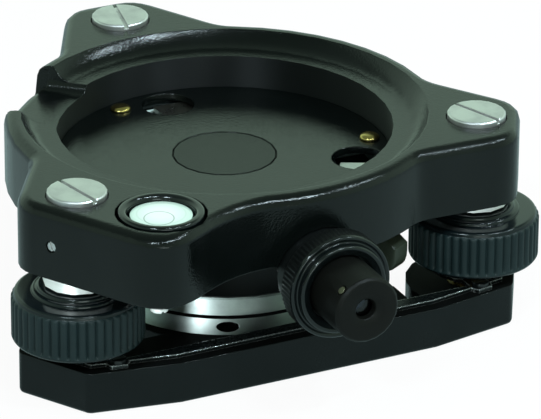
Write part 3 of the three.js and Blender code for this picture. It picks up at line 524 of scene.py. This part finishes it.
def rounded(start, corner, end, steps=4):
    """Points of a rounded corner between two ends, as radius and height."""
    points = []
    for k in range(steps + 1):
        t = k / steps
        points.append(tuple(
            (1 - t) ** 2 * s + 2 * t * (1 - t) * c + t * t * e
            for s, c, e in zip(start, corner, end)
        ))
    return points


def waved(turn):
    """Depth of a soft knurl over one pitch."""
    return 0.5 + 0.5 * math.cos(turn)


def rounded_crests(turn):
    """Depth of narrow grooves between rounded ribs over one pitch."""
    return (1 - abs(math.sin(turn / 2))) ** 1.5


AXIS_HOLE = 0.05  # millimetres, so that a section keeps clear of its axis


def turned(profile, count, groove=0.0, ribs=0, wave=waved):
    """A body of revolution about +Z, from a closed profile in millimetres.

    A point of the profile is a radius, a height and, where the body is ribbed, the share of the
    groove's depth that is cut there.
    """
    rings = []
    for radius, height, *share in profile + profile[:1]:
        ring = []
        for k in range(count):
            angle = 2 * math.pi * k / count
            cut = groove * MM * share[0] * wave(ribs * angle) if share else 0.0
            r = radius * MM - cut
            ring.append((r * math.cos(angle), r * math.sin(angle), height * MM))
        rings.append(ring)
    mesh = lofted(rings, close_ends=False)
    shape = bmesh.new()
    shape.from_mesh(mesh)
    bmesh.ops.remove_doubles(shape, verts=shape.verts, dist=1e-7)
    bmesh.ops.recalc_face_normals(shape, faces=shape.faces)
    shape.to_mesh(mesh)
    shape.free()
    return mesh


# Foot-screw knobs, in millimetres

KNOB_RADIUS, KNOB_HEIGHT, KNOB_BORE = 17.75, 13.8, 5.3
COLLAR_STEP, COLLAR_HEIGHT = 0.9, 2.0
RIBS, RIB_DEPTH, RIB_FACETS = 44, 0.8, 12
RIB_FOOT, RIB_HEAD = 1.3, 12.5


def knob_profile():
    """Radius, height above the knob's foot and rib share, round the section once."""
    radius, height = KNOB_RADIUS, KNOB_HEIGHT
    step, top = height + COLLAR_STEP, height + COLLAR_HEIGHT
    foot = [(KNOB_BORE, 0.0), (15.4, 0.0), *rounded((15.7, 0.0), (17.2, 0.05), (17.6, 0.9))]
    heights_and_shares = (
        (1.2, 0.0), (1.4, 0.12), (1.6, 0.42), (1.9, 0.75), (2.3, 0.95), (2.8, 1.0),
        (height / 2, 1.0), (11.4, 1.0),
    )
    ribs = [(radius, *point) for point in heights_and_shares]
    crest = rounded((radius, 11.6), (radius, 12.35), (17.1, 12.55))
    ribs += [(*point, share) for point, share in zip(crest, (1.0, 0.9, 0.6, 0.25, 0.0))]
    rim = [
        (17.05, 12.7),
        *rounded((17.0, 12.9), (17.0, height), (15.9, height), 6),
        (12.5, height),
    ]
    collar = [
        *rounded((12.4, height), (12.3, step), (11.7, step)),
        (11.0, step),
        *rounded((10.9, height + 1.0), (10.9, top), (10.2, top)),
        (KNOB_BORE, top),
    ]
    return foot + ribs + rim + collar


def make_knobs():
    for corner in CORNERS:
        node = "foot_knob_" + corner
        mesh = turned(knob_profile(), RIBS * RIB_FACETS, RIB_DEPTH, RIBS, rounded_crests)
        ribbed = [RIB_FOOT * MM < face.center.z < RIB_HEAD * MM for face in mesh.polygons]
        low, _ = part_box(node)
        centre = middle(node)
        mesh.transform(Matrix.Translation((centre.x, centre.y, low.z)))
        shade(mesh, 50)
        add_piece(node + "_ribbed", mesh, node, KNOB_GLOSS)
        refinish(mesh, KNOB, ribbed)


# Focusing ring of the plummet, in millimetres

FOCUS_RADIUS, FOCUS_BORE = 14.6, 8.4
KNURLS, KNURL_DEPTH, KNURL_FACETS, KNURL_END = 72, 0.3, 6, 5.45


def focus_profile():
    """Radius, distance from the ring's back and knurl share, round the section once."""
    r = FOCUS_RADIUS
    back = [(FOCUS_BORE, 0.0), (r - 0.5, 0.0)]
    knurl = [
        (r - 0.2, 0.15, 0.6), (r, 0.5, 1.0), (r, 2.8, 1.0), (r, 5.0, 1.0), (r - 0.1, 5.4, 0.0)
    ]
    lip = rounded((r - 0.15, 5.5), (r - 0.1, 6.35), (r - 0.8, 6.4))
    valley = [*rounded((r - 1.1, 6.3), (r - 1.9, 5.6), (r - 2.1, 6.3)), (r - 2.15, 7.2)]
    front = rounded((r - 2.2, 7.4), (r - 2.2, 8.2), (r - 3.0, 8.2))
    face = rounded((r - 3.3, 8.15), (r - 3.7, 7.9), (r - 4.2, 7.7), 3)
    bore = [(9.8, 7.45), (9.55, 7.2), (9.5, 5.0), (FOCUS_BORE, 5.0)]
    return back + knurl + lip + valley + front + face + bore


def lay_forward(mesh, back, height):
    """Turns a mesh from +Z to -Y, with its foot at a distance in front of the axis."""
    quarter = Matrix.Rotation(math.radians(90), 4, "X")
    mesh.transform(Matrix.Translation((0, -back, height)) @ quarter)


def make_focus_ring():
    low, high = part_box("focus_ring")
    mesh = turned(focus_profile(), KNURLS * KNURL_FACETS, KNURL_DEPTH, KNURLS)
    knurled = [face.center.z < KNURL_END * MM for face in mesh.polygons]
    lay_forward(mesh, -high.y, (low.z + high.z) / 2)
    shade(mesh, 42)
    add_piece("focus_ring_knurled", mesh, "focus_ring", finish_of("focus_ring"))
    refinish(mesh, ANODISED, knurled)


# Circular level

LEVEL_SEGMENTS = 96
VIAL_DOME = 0.55  # millimetres


def level_profile():
    """Radius and height under the level's top, from the outer foot round to the inner one."""
    outer, window, foot, floor = 11.35, 8.72, -10.0, -8.7
    return [
        (outer, foot),
        (outer, -1.0),
        *rounded((outer, -0.9), (outer, 0.0), (outer - 0.9, 0.0), 5),
        (outer - 1.3, 0.0),
        *rounded((outer - 1.5, -0.02), (window + 0.5, -0.1), (window + 0.1, -1.0), 5),
        (window, -1.7),
        (window, floor),
        (0.5, floor),
        (0.5, foot),
    ]


def vial_profile(radius, depth):
    """Radius and height above the vial's foot, with a low dome on top."""
    rim = depth - VIAL_DOME
    dome = []
    for degrees in range(84, 2, -9):
        turn = math.radians(degrees)
        dome.append((radius * math.sin(turn), rim + VIAL_DOME * math.cos(turn)))
    sides = [(AXIS_HOLE, 0.0), (radius, 0.0), (radius, depth - 0.62)]
    return sides + dome + [(AXIS_HOLE, depth)]


def make_level():
    node = "level_housing"
    centre, (_, high) = middle(node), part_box(node)
    mesh = turned(level_profile(), LEVEL_SEGMENTS)
    mesh.transform(Matrix.Translation((centre.x, centre.y, high.z)))
    shade(mesh, 50)
    add_piece(node + "_turned", mesh, node, finish_of(node))
    node = "level_vial"
    centre, (low, high) = middle(node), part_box(node)
    profile = vial_profile(half_width(node) / MM, (high.z - low.z) / MM)
    mesh = turned(profile, LEVEL_SEGMENTS)
    mesh.transform(Matrix.Translation((centre.x, centre.y, low.z)))
    shade(mesh, 50)
    add_piece(node + "_domed", mesh, node, finish_of(node))


# Seat pads

PAD_SEGMENTS = 48


def pad_profile(radius, top):
    """Radius and height above the shank's foot, in a low dome over a flat underside."""
    shank, seat = 1.9, 1.2
    return [
        (AXIS_HOLE, 0.0),
        (shank, 0.0),
        (shank, seat),
        (radius - 0.1, seat),
        (radius, 1.3),
        *rounded((radius, 1.6), (radius * 0.97, top - 0.25), (radius * 0.5, top - 0.05), 5),
        (AXIS_HOLE, top),
    ]


def make_pads():
    for corner in CORNERS:
        node = "seat_pad_" + corner
        centre, (low, high) = middle(node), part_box(node)
        profile = pad_profile(half_width(node) / MM, (high.z - low.z) / MM)
        mesh = turned(profile, PAD_SEGMENTS)
        mesh.transform(Matrix.Translation((centre.x, centre.y, low.z)))
        shade(mesh, 60)
        add_piece(node + "_domed", mesh, node, finish_of(node))


# Silver rings under the drum, in millimetres

RING_SEGMENTS = 120
RING_SETBACK = 0.05
RING_BORE, TRIPOD_BORE, HUB_RADIUS = 7.0, 7.94, 15.0
FLANGE = 5.0
SLOT_TURNS = (-114, 6, 126)  # degrees
SLOT_HALF_LENGTH, SLOT_HALF_HEIGHT, SLOT_DEPTH = 3.1, 1.55, 6.0


def ring_radius():
    return half_width("drum_ring") / MM


def ring_profile(bottom, top):
    rim = ring_radius() - RING_SETBACK
    return [
        (RING_BORE, bottom),
        (rim - 0.4, bottom),
        *rounded((rim - 0.3, bottom), (rim, bottom), (rim, bottom + 0.3), 2),
        *rounded((rim, top - 0.3), (rim, top), (rim - 0.3, top), 2),
        (RING_BORE, top),
    ]


def bush_profile(foot, seat, top):
    rim = ring_radius() - RING_SETBACK
    return [
        (TRIPOD_BORE, foot),
        (HUB_RADIUS, foot),
        (HUB_RADIUS, seat),
        (rim - 0.4, seat),
        *rounded((rim - 0.3, seat), (rim, seat), (rim, seat + 0.3), 2),
        *rounded((rim, top - 0.35), (rim, top), (rim - 0.35, top), 3),
        (TRIPOD_BORE, top),
    ]


def slot_cutter(degrees, height):
    """An oval bar that cuts a tommy slot into the bush's flange."""
    points = 40
    turns = [2 * math.pi * k / points for k in range(points)]
    bar = lofted([
        [
            (
                distance * MM,
                SLOT_HALF_LENGTH * MM * math.cos(turn),
                height * MM + SLOT_HALF_HEIGHT * MM * math.sin(turn),
            )
            for turn in turns
        ]
        for distance in (ring_radius() - SLOT_DEPTH, ring_radius() + 2)
    ])
    bar.transform(Matrix.Rotation(math.radians(degrees), 4, "Z"))
    return bar


def make_drum_ring():
    """The upper band, with its underside painted near black as painted shade in the gap above the
    lower band.
    """
    low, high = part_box("drum_ring")
    mesh = turned(ring_profile(low.z / MM, high.z / MM), RING_SEGMENTS)
    shade(mesh, 40)
    add_piece("drum_ring_turned", mesh, "drum_ring", RING_STEEL)
    refinish(mesh, PAINTED_SHADE, [
        face.normal.z < -0.5 and abs(face.center.z - low.z) < 0.4 * MM for face in mesh.polygons
    ])


def make_bush():
    """The lower band, with its top and its tommy slots painted near black as painted shade in the
    gap and the slots.
    """
    low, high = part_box("centre_bush")
    foot, top = low.z / MM, high.z / MM
    seat = top - FLANGE
    mesh = turned(bush_profile(foot, seat, top), RING_SEGMENTS)
    for degrees in SLOT_TURNS:
        mesh = carved(mesh, slot_cutter(degrees, seat + FLANGE / 2))
    shade(mesh, 40)
    add_piece("centre_bush_turned", mesh, "centre_bush", RING_STEEL)
    inner, outer = ring_radius() - SLOT_DEPTH - 0.1, ring_radius() - RING_SETBACK - 0.15
    shaded = []
    for face in mesh.polygons:
        far, height = reach(face.center) / MM, face.center.z / MM
        in_slot = inner < far < outer and seat + 0.5 < height < top - 0.5
        on_top = face.normal.z > 0.5 and height > top - 0.4
        shaded.append(in_slot or on_top)
    refinish(mesh, PAINTED_SHADE, shaded)


# Adjusting screws of the level, in millimetres

SCREW_HEAD, SCREW_SHANK, SCREW_FOOT, SCREW_THICKNESS = 2.4, 1.05, 31.4, 1.2
SCREW_SEGMENTS = 40
PAD_FOOT = 35.5
NICK_HALF_WIDTH, NICK_HALF_LENGTH, NICK_DEPTH = 0.35, 3.0, 0.55


def level_screw_profile(top):
    head, shank, foot = SCREW_HEAD, SCREW_SHANK, SCREW_FOOT
    back = foot + SCREW_THICKNESS
    return [
        (AXIS_HOLE, foot),
        (head - 0.4, foot),
        *rounded((head - 0.3, foot), (head, foot), (head, foot + 0.3), 2),
        *rounded((head, foot + 0.9), (head, back), (head - 0.4, back), 3),
        (shank + 0.1, foot + 1.25),
        (shank, foot + 1.4),
        (shank, PAD_FOOT + 1.0),
        (shank, top),
        (AXIS_HOLE, top),
    ]


def make_level_screws():
    """Thin slotted heads that hang on their shanks below the level's pad."""
    for k in "123":
        node = "level_screw_" + k
        centre, (_, high) = middle(node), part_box(node)
        mesh = turned(level_screw_profile(high.z / MM), SCREW_SEGMENTS)
        mesh = carved(mesh, block(
            (-NICK_HALF_WIDTH * MM, NICK_HALF_WIDTH * MM),
            (-NICK_HALF_LENGTH * MM, NICK_HALF_LENGTH * MM),
            ((SCREW_FOOT - 0.5) * MM, (SCREW_FOOT + NICK_DEPTH) * MM),
        ))
        mesh.transform(Matrix.Translation((centre.x, centre.y, 0.0)))
        shade(mesh, 40)
        add_piece(node + "_hung", mesh, node, SCREW_STEEL)


# Base plate, in millimetres

CORNER_RADIUS, CORNER_STEPS, LEAST_CORNER = 1.3, 3, 20  # the last in degrees
FOOT_HEIGHT, FOOT_REACH = 0.6, 50
UPRIGHT_LENGTH, UPRIGHT_LEAN, UPRIGHT_REACH = 8, 0.1, 60
RELIEF_HALF_WIDTH, RELIEF_REACH, RELIEF_DEPTH = 36, 14, 0.5
CUTTER_OVERRUN = 2
RAIL_DEPTH = 9


def round_corners(mesh):
    """Rounds the base plate's outer foot and its upright corners, as a casting has them."""
    shape = bmesh.new()
    shape.from_mesh(mesh)
    chosen = []
    for edge in shape.edges:
        a, b = (v.co for v in edge.verts)
        if len(edge.link_faces) != 2 or edge.calc_face_angle(0.0) < math.radians(LEAST_CORNER):
            continue
        far, lean, length = reach(a + b) / 2 / MM, reach(a - b) / MM, (a - b).length / MM
        along_foot = max(a.z, b.z) / MM < FOOT_HEIGHT and far > FOOT_REACH
        upright = length > UPRIGHT_LENGTH and lean < UPRIGHT_LEAN and far > UPRIGHT_REACH
        if along_foot or upright:
            chosen.append(edge)
    bmesh.ops.bevel(
        shape, geom=chosen, offset=CORNER_RADIUS * MM, segments=CORNER_STEPS, profile=0.5,
        affect="EDGES", clamp_overlap=False,
    )
    shape.to_mesh(mesh)
    shape.free()


def relieved(mesh):
    """The base plate with a shallow relief cut under its front edge."""
    low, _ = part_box("base_plate")
    return carved(mesh, block(
        (-RELIEF_HALF_WIDTH * MM, RELIEF_HALF_WIDTH * MM),
        (low.y - CUTTER_OVERRUN * MM, low.y + RELIEF_REACH * MM),
        (-CUTTER_OVERRUN * MM, RELIEF_DEPTH * MM),
    ))


def paint_shade_on_base_tops(piece):
    """The base's sheltered upper faces behind the front rail get a darker, matt copy of its enamel:
    painted shade.
    """
    low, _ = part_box("base_plate")
    refinish(piece.data, BASE_PAINTED_SHADE, [
        face.normal.z > 0.7 and face.center.y > low.y + RAIL_DEPTH * MM
        for face in piece.data.polygons
    ])


# Head casting, in millimetres

SKIRT_TOP, SKIRT_REACH, SKIRT_LIFT = 35.6, 50, 1.1
WALL_NEAR, WALL_FAR, WALL_FOOT = 44.5, 46.2, 42.5


def raise_skirt(mesh):
    """Lifts the head's lower outer edge a little, to a slight draft under the lobes."""
    for vertex in mesh.vertices:
        if vertex.co.z < SKIRT_TOP * MM and reach(vertex.co) > SKIRT_REACH * MM:
            vertex.co.z += SKIRT_LIFT * MM


def finish_socket_wall(piece):
    """Gives the bored wall of the socket its own turned finish."""
    refinish(piece.data, WALL, [
        abs(face.normal.z) < 0.2
        and WALL_NEAR * MM < reach(face.center) < WALL_FAR * MM
        and face.center.z > WALL_FOOT * MM
        for face in piece.data.polygons
    ])


# Softened copies of the other nodes

WELD, EDGE_STEPS = 0.02, 2  # the first in millimetres
FLAT_ANGLE = 0.6  # degrees
# Width of the broken edges in millimetres, by node, or by family for a name that ends in _
SOFT_EDGES = {
    "base_plate": 0.35,
    "front_spring": 0.2,
    "rear_spring": 0.2,
    "spring_screw_": 0.0,
    "foot_cup_": 0.0,
    "foot_spindle_": 0.0,
    "head_body": 0.0,
    "socket_floor": 0.15,
    "centre_disc": 0.12,
    "screw_cap_": 0.1,
    "thread_sleeve_": 0.0,
    "grip_screw_": 0.0,
    "drum": 0.2,
    "drum_screw_": 0.0,
    "lock_ring": 0.0,
    "lock_claw_": 0.1,
    "lock_lever": 0.9,
    "plummet_housing": 0.3,
    "plummet_tube": 0.0,
    "prism_tower": 0.0,
    "objective_lens": 0.0,
    "eyepiece": 0.2,
    "eye_lens": 0.0,
    "eye_screw": 0.0,
}


def merge_facets(mesh):
    """Welds a CAD mesh, merges the triangles of each flat face and drops the CAD's normals."""
    shape = bmesh.new()
    shape.from_mesh(mesh)
    bmesh.ops.remove_doubles(shape, verts=shape.verts, dist=WELD * MM)
    bmesh.ops.dissolve_limit(
        shape, angle_limit=math.radians(FLAT_ANGLE), verts=shape.verts, edges=shape.edges,
        use_dissolve_boundaries=False,
    )
    shape.to_mesh(mesh)
    shape.free()
    if "custom_normal" in mesh.attributes:
        mesh.attributes.remove(mesh.attributes["custom_normal"])


def softened(name, width):
    """A copy of a CAD node with smooth curved faces, plain flat ones and broken edges."""
    mesh = frame["nodes"][name].data.copy()
    if name == "head_body":
        raise_skirt(mesh)
    merge_facets(mesh)
    if name == "base_plate":
        round_corners(mesh)
        mesh = relieved(mesh)
    shade(mesh)
    piece = add_piece(name + "_smooth", mesh, name, finish_of(name))
    if width > 0:
        bevel = piece.modifiers.new("edges", "BEVEL")
        bevel.width = width
        bevel.segments = EDGE_STEPS
        bevel.limit_method = "ANGLE"
        bevel.angle_limit = math.radians(SMOOTH_ANGLE)
    flat = piece.modifiers.new("flat", "WEIGHTED_NORMAL")
    flat.keep_sharp = True
    return piece


def soften_nodes():
    for name in sorted(frame["nodes"]):
        width = look_up(SOFT_EDGES, name, None)
        if width is None:
            continue
        piece = softened(name, width * MM)
        if name == "head_body":
            finish_socket_wall(piece)
        if name == "base_plate":
            paint_shade_on_base_tops(piece)


# Floor, backdrop and light

WHITE = (1.0, 1.0, 1.0)
FLOOR_COLOUR, FLOOR_IN_GLOSS, FLOOR_GLOW = (0.86, 0.87, 0.86), (0.34, 0.5, 0.49), 0.93
FLOOR_HALF = 6.0
AMBIENT, AMBIENT_TINT = 0.62, (0.92, 1.0, 0.96)
BAND, BAND_TINT, BAND_TOWARDS = 0.95, (0.7, 1.0, 0.8), (0.44, 0.9)
CEILING, FRONT = 0.32, 0.5  # shares of the band's strength
CEILING_FROM, FRONT_FROM = (0.53, 0.68), (-0.8, 0.35)  # spans of a direction's height and rearness
LAMP_TARGET = Vector((0, 0, 0.04))
COOL = (0.74, 0.93, 1.0)
LAMPS = (  # name, azimuth and elevation in degrees, distance, size, power, colour
    ("strip_left", -136, 42, 1.35, (0.3, 0.05), 5.5, COOL),
    ("strip_middle", -92, 52, 1.45, (0.24, 0.035), 3.5, COOL),
    ("strip_right", -62, 54, 1.45, (0.24, 0.05), 6.5, COOL),
    ("strip_far", -24, 50, 1.45, (0.3, 0.035), 3.5, COOL),
    ("front_fill", -102, 8, 1.5, (0.7, 0.2), 2.0, (0.86, 1.0, 0.97)),
)
WINDOW = ("window_low", -140, 14, 1.3, (0.16, 0.3), 16.0, (0.86, 0.97, 1.0))
LIT_BY_WINDOW = ("centre_bush", "drum_ring", "level_screw", "thread_sleeve")


def floor_material():
    """Plain white to camera and transmission rays, a dull green to glossy ones, with shadows."""
    material = bpy.data.materials.new("pale_floor")
    graph = Graph(material)
    out = graph.add("ShaderNodeOutputMaterial")
    diffuse = graph.add("ShaderNodeBsdfDiffuse")
    diffuse.inputs["Color"].default_value = (*FLOOR_COLOUR, 1.0)
    glow = graph.add("ShaderNodeEmission")
    path = graph.add("ShaderNodeLightPath").outputs
    tone = graph.mix(path["Is Glossy Ray"], WHITE, FLOOR_IN_GLOSS)
    graph.join(tone, glow.inputs["Color"])
    seen = graph.math("MAXIMUM", path["Is Camera Ray"], path["Is Glossy Ray"])
    seen = graph.math("MAXIMUM", seen, path["Is Transmission Ray"])
    share = graph.math("MULTIPLY", seen, FLOOR_GLOW)
    graph.join(graph.blend(share, diffuse, glow), out.inputs["Surface"])
    return material


def make_floor():
    mesh = bpy.data.meshes.new("floor")
    shape = bmesh.new()
    signs = ((-1, -1), (1, -1), (1, 1), (-1, 1))
    shape.faces.new([shape.verts.new((x * FLOOR_HALF, y * FLOOR_HALF, 0.0)) for x, y in signs])
    shape.to_mesh(mesh)
    shape.free()
    mesh.materials.append(floor_material())
    floor = new_object("floor", mesh)


def make_world():
    """Even light for matt surfaces; polished ones see a pale band at the rear that falls off
    towards the ceiling and the front."""
    world = bpy.data.worlds.new("studio")
    bpy.context.scene.world = world
    graph = Graph(world)
    out = graph.add("ShaderNodeOutputWorld")
    path = graph.add("ShaderNodeLightPath").outputs
    way = graph.parts(graph.add("ShaderNodeTexCoord").outputs["Generated"])
    ceiling = graph.remap(way["Z"], CEILING_FROM, (1.0, CEILING))
    rear = graph.math(
        "ADD",
        graph.math("MULTIPLY", way["X"], BAND_TOWARDS[0]),
        graph.math("MULTIPLY", way["Y"], BAND_TOWARDS[1]),
    )
    sides = graph.remap(rear, FRONT_FROM, (FRONT, 1.0))
    level = graph.math("MULTIPLY", graph.math("MULTIPLY", ceiling, sides), BAND)
    glossy = path["Is Glossy Ray"]
    strength = graph.add("ShaderNodeMix", data_type="FLOAT")
    graph.join(glossy, strength.inputs[0])
    strength.inputs[2].default_value = AMBIENT
    graph.join(level, strength.inputs[3])
    ambient = graph.add("ShaderNodeBackground")
    graph.join(graph.mix(glossy, AMBIENT_TINT, BAND_TINT), ambient.inputs["Color"])
    graph.join(strength.outputs[0], ambient.inputs["Strength"])
    white = graph.add("ShaderNodeBackground")
    white.inputs["Color"].default_value = (*WHITE, 1.0)
    seen = graph.math("MAXIMUM", path["Is Camera Ray"], path["Is Transmission Ray"])
    graph.join(graph.blend(seen, ambient, white), out.inputs["Surface"])


def add_lamp(name, azimuth, elevation, distance, size, power, colour):
    """A lamp at an azimuth and elevation about the object, aimed at it."""
    a, e = math.radians(azimuth), math.radians(elevation)
    place = Vector((math.cos(e) * math.cos(a), math.cos(e) * math.sin(a), math.sin(e))) * distance
    data = bpy.data.lights.new(name, "AREA")
    data.shape = "RECTANGLE"
    data.size, data.size_y = size
    data.energy = power
    data.color = colour
    lamp = new_object(name, data)
    lamp.location = place
    lamp.rotation_euler = (LAMP_TARGET - place).to_track_quat("-Z", "Y").to_euler()
    return lamp


def make_lights():
    """A row of bright strips overhead in front, and a low window that reaches only turned metal."""
    for lamp in LAMPS:
        add_lamp(*lamp)
    window = add_lamp(*WINDOW)
    reached = bpy.data.collections.new("turned_metal")
    for piece in bpy.data.objects:
        if piece.name.startswith(LIT_BY_WINDOW):
            reached.objects.link(piece)
    window.light_linking.receiver_collection = reached


make_camera()
finish_nodes()
make_knobs()
make_focus_ring()
make_level()
make_pads()
make_drum_ring()
make_bush()
make_level_screws()
soften_nodes()
make_floor()
make_world()
make_lights()
bpy.context.scene.view_settings.view_transform = "Standard"
